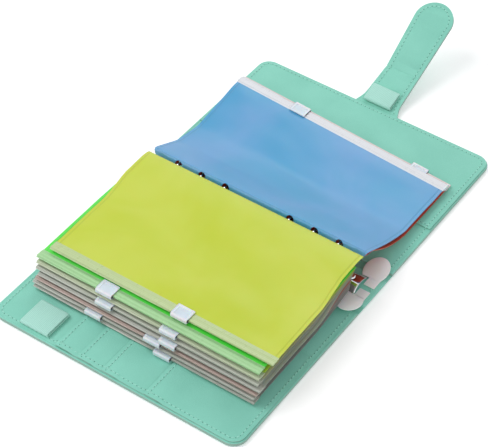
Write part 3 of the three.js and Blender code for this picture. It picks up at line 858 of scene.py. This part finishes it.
def rounded_corner(s, y):
    """Moves a place near a corner of the punched edge in, so that the corner is round."""
    centre_y = FILM_HALF - FILM_CORNER
    ds, dy = FILM_CORNER - s, abs(y) - centre_y
    if ds <= 0 or dy <= 0:
        return s, y
    scale = max(ds, dy) / math.hypot(ds, dy)
    return FILM_CORNER - ds * scale, math.copysign(centre_y + dy * scale, y)


def punched(s, y):
    """Moves the rim of each hole's cut-out onto its circle."""
    for station in RING_STATIONS:
        ds, dy = s - FILM_MARGIN, y - station
        if abs(max(abs(ds), abs(dy)) - 2.12) < 0.01:
            scale = HOLE_RADIUS / math.hypot(ds, dy)
            return FILM_MARGIN + ds * scale, station + dy * scale
    return s, y


def make_film(index, side, order, count, material):
    """An envelope's film: punched margin, rounded corners, welded edges and a fuller middle."""
    at = section_line(side, order, count)
    along, across = film_grid()
    bm = bmesh.new()
    bmesh.ops.create_grid(bm, x_segments=len(along) - 1, y_segments=len(across) - 1, size=1)
    for vert in bm.verts:
        i = round((vert.co.x + 1) / 2 * (len(along) - 1))
        j = round((vert.co.y + 1) / 2 * (len(across) - 1))
        vert.co = (along[i], across[j], 0)
    holes = []
    for face in bm.faces:
        centre = face.calc_center_median()
        if abs(centre.x - FILM_MARGIN) < 2.1 and any(abs(centre.y - y) < 2.1 for y in RING_STATIONS):
            holes.append(face)
    bmesh.ops.delete(bm, geom=holes, context="FACES")
    for vert in bm.verts:
        s, y = punched(vert.co.x, vert.co.y)
        s, y = rounded_corner(s, y)
        vert.co = (s, y, 0)
    raised = bmesh.ops.extrude_face_region(bm, geom=list(bm.faces), use_keep_orig=True)["geom"]
    bmesh.ops.translate(bm, vec=(0, 0, 1), verts=[v for v in raised if isinstance(v, bmesh.types.BMVert)])
    bmesh.ops.recalc_face_normals(bm, faces=bm.faces)
    store_flat_places(bm)
    for vert in bm.verts:
        s, y, level = vert.co
        full = smooth(10, 30, s) * (1 - smooth(FILM_HALF - 9, FILM_HALF - 2.5, abs(y)))
        full *= 1 - smooth(FILM_WIDTH - RAIL_WIDTH - 10, FILM_WIDTH - RAIL_WIDTH, s)
        half = 0.22 + 0.3 * full
        vert.co = film_place(at, side, order, s, y, half if level > 0.5 else -half)
    film = finished(f"film_envelope_{index + 1}", bm, material, 60)
    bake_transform(film)
    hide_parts(f"zip_envelope_{index + 1}")
    return at


def store_flat_places(bm):
    """Keeps each corner's flat place, in metres, as the piece's UV."""
    layer = bm.loops.layers.uv.new("film")
    for face in bm.faces:
        for loop in face.loops:
            loop[layer].uv = (loop.vert.co.x * MM, loop.vert.co.y * MM)


def make_rail(index, side, order, at, material):
    """The zip's two ribbed strips, joined on one side of the slider and open on the other."""
    station = SLIDER_STATIONS[index]
    opened = RIGHT_ZIP_SPLAY if (side > 0 and order == 0) else ZIP_SPLAY
    root = FILM_WIDTH - RAIL_WIDTH
    profile = [
        (0, 0.06), (RAIL_WIDTH - 0.3, 0.06), (RAIL_WIDTH, 0.25), (RAIL_WIDTH, 0.5), (RAIL_WIDTH - 0.5, 0.65),
        (5.2, 0.65), (4.9, 0.5), (3.5, 0.5), (3.2, 0.7), (2.2, 0.7), (1.8, 0.45), (0.4, 0.38), (0, 0.28),
    ]
    bm = bmesh.new()
    step = (0, (2 * FILM_HALF + 2 * RAIL_OVERRUN) / (RAIL_STATIONS - 1), 0)
    for face_side in (1, -1):
        low = -FILM_HALF - RAIL_OVERRUN
        verts = [bm.verts.new((root + s, low, face_side * h)) for s, h in profile]
        loop = [bm.faces.new(verts)]
        for _ in range(1, RAIL_STATIONS):
            made = bmesh.ops.extrude_face_region(bm, geom=loop)["geom"]
            loop = [f for f in made if isinstance(f, bmesh.types.BMFace)]
            moved = {v for f in loop for v in f.verts}
            bmesh.ops.translate(bm, vec=step, verts=list(moved))
    inner = [f for f in bm.faces if is_inner_slice(f)]
    bmesh.ops.delete(bm, geom=inner, context="FACES_ONLY")
    store_flat_places(bm)
    for vert in bm.verts:
        s, y, h = vert.co
        splay = opened * smooth(station + SPLAY_START, station + SPLAY_END, y)
        splay *= smooth(root, FILM_WIDTH - 3, s)
        lift = h + math.copysign(splay * SPLAY_LIFT, h)
        vert.co = film_place(at, side, order, s - math.copysign(splay, h), y, lift)
    rail = finished(f"zip_rail_{index + 1}", bm, material)
    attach(rail, "left_cover" if side < 0 else "right_cover")


def make_end_stop(order, at, material):
    """The clear stop crimped over the top right zip at the wallet's lower edge."""
    bm = block((FILM_WIDTH - 5.4, -FILM_HALF - 0.8, -1.1), (FILM_WIDTH + 0.5, -FILM_HALF + 0.15, 1.1))
    soften(bm, list(bm.edges), 0.2, 2)
    for vert in bm.verts:
        s, y, h = vert.co
        vert.co = film_place(at, 1, order, s, y, h)
    stop = finished("right_zip_end_stop", bm, material)
    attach(stop, "right_cover")


def is_inner_slice(face):
    """True for a rail's cross-section that isn't at one of its ends."""
    ys = [v.co.y for v in face.verts]
    level = max(ys) - min(ys) < 0.01
    return level and abs(abs(ys[0]) - FILM_HALF - RAIL_OVERRUN) > 0.1


def sunk_grip(bm):
    """A shallow sunk panel in a slider's upper face."""
    bm.faces.ensure_lookup_table()
    bm.normal_update()
    level = [f for f in bm.faces if f.normal.z > 0.9]
    top = max(level, key=lambda f: f.calc_center_median().z + f.calc_area() * 0.01)
    bmesh.ops.inset_region(bm, faces=[top], thickness=1.1, use_even_offset=True)
    bmesh.ops.inset_region(bm, faces=[top], thickness=0.35, depth=-0.4, use_even_offset=True)


def make_slider(index, material):
    """A moulded saddle over the zip's edge, with a sunk grip on its upper face."""
    node = f"zip_slider_{index + 1}"
    slider = dressed(node, f"zip_pull_{index + 1}", material, 0.55, 3, 60, sunk_grip)
    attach(slider, f"slider_{index + 1}")


# Each film: its name, its colour, a lighter colour painted in cloudy patches as sheen, and its alpha.
FILM_COLOURS = [
    ("yellow", (198, 213, 50), (208, 220, 82), 0.95),
    ("green", (84, 236, 74), (106, 242, 96), 0.92),
    ("lime", (176, 208, 62), (190, 216, 90), 0.92),
    ("amber", (192, 196, 152), (202, 206, 166), 0.9),
    ("sky", (176, 186, 176), (188, 197, 186), 0.9),
    ("pink", (186, 130, 118), (200, 146, 134), 0.9),
    ("violet", (166, 162, 160), (178, 174, 170), 0.9),
    ("red", (158, 162, 156), (170, 174, 168), 0.9),
    ("blue", (78, 166, 212), (116, 172, 221), 0.94),
    ("orange", (226, 72, 48), (236, 98, 70), 0.92),
]
RAIL_TINTS = [(200, 220, 160), (176, 226, 164), (204, 214, 182), (200, 204, 190), (196, 198, 188),
              (198, 176, 166), (200, 202, 192), (198, 200, 190), (240, 242, 246), (236, 220, 218)]


def make_envelopes(slider_plastic):
    for index in range(LEFT_COUNT + RIGHT_COUNT):
        side = -1 if index < LEFT_COUNT else 1
        order = index if side < 0 else index - LEFT_COUNT
        count = LEFT_COUNT if side < 0 else RIGHT_COUNT
        word, seen, painted_sheen, alpha = FILM_COLOURS[index]
        film = film_finish(f"{word}_film", shade(*seen), shade(*painted_sheen), alpha)
        at = make_film(index, side, order, count, film)
        rail = rail_finish(f"{word}_zip_rail", shade(*RAIL_TINTS[index]), 0.93)
        make_rail(index, side, order, at, rail)
        if side > 0 and order == 0:
            make_end_stop(order, at, slider_plastic)
        make_slider(index, slider_plastic)


def add_light(name, place, target, size, power, colour=(1, 1, 1)):
    data = bpy.data.lights.new(name, "AREA")
    data.shape = "DISK"
    data.size = size
    data.energy = power
    data.color = colour
    lamp = bpy.data.objects.new(name, data)
    bpy.context.scene.collection.objects.link(lamp)
    direction = Vector(target) - Vector(place)
    lamp.matrix_world = Matrix.Translation(place) @ direction.to_track_quat("-Z", "Y").to_matrix().to_4x4()


def add_stage():
    floor_finish = Finish("pale_floor", Roughness=0.9)
    path = floor_finish.tree.nodes.new("ShaderNodeLightPath")
    rays = ("Is Camera Ray", "Is Glossy Ray", "Is Transmission Ray")
    seen = [Value(floor_finish, path.outputs[name]) for name in rays]
    shown = seen[0].math("MAXIMUM", seen[1]).math("MAXIMUM", seen[2])
    floor_finish.set("Base Color", (0.88, 0.88, 0.88))
    floor_finish.set("Emission Color", floor_finish.blend_colours(shown, (0, 0, 0), (0.3, 0.3, 0.3)))
    floor_finish.set("Emission Strength", 1.0)
    bm = bmesh.new()
    bmesh.ops.create_grid(bm, x_segments=1, y_segments=1, size=4000)
    bmesh.ops.translate(bm, vec=(0, 0, -0.3), verts=bm.verts)
    floor = finished("studio_floor", bm, floor_finish.material)

    world = bpy.data.worlds.new("studio_air")
    world.use_nodes = True
    tree = world.node_tree
    ground = tree.nodes["Background"]
    path = tree.nodes.new("ShaderNodeLightPath")
    mix = tree.nodes.new("ShaderNodeMix")
    mix.data_type = "RGBA"
    mix.inputs[6].default_value = (0.5, 0.5, 0.51, 1)
    mix.inputs[7].default_value = (1, 1, 1, 1)
    shown = path.outputs["Is Camera Ray"]
    for ray in ("Is Glossy Ray", "Is Transmission Ray"):
        either = tree.nodes.new("ShaderNodeMath")
        either.operation = "MAXIMUM"
        tree.links.new(shown, either.inputs[0])
        tree.links.new(path.outputs[ray], either.inputs[1])
        shown = either.outputs[0]
    tree.links.new(shown, mix.inputs["Factor"])
    tree.links.new(mix.outputs[2], ground.inputs["Color"])
    bpy.context.scene.world = world
    add_light("key_softbox", (-0.5, 0.9, 1.5), (0, 0, 0), 1.1, 12.4)
    add_light("fill_softbox", (-1.2, -0.8, 1.1), (0, 0, 0), 1.2, 4.8)
    add_light("rim_softbox", (1.2, 0.3, 1.0), (0, 0, 0), 0.9, 4)


add_camera()
add_stage()
leather = leather_finish()
thread = (thread_finish(), needle_hole_shade_finish())
elastic = elastic_finish()
chrome = chrome_finish()
edge = edge_finish()
make_covers(leather, thread, edge)
make_spine(leather, thread)
make_panels(leather, thread, edge)
make_loops(elastic)
make_strap(leather, thread, edge)
make_mechanism(chrome, lifter_finish())
make_envelopes(slider_finish())

bpy.context.scene.view_settings.view_transform = "Standard"
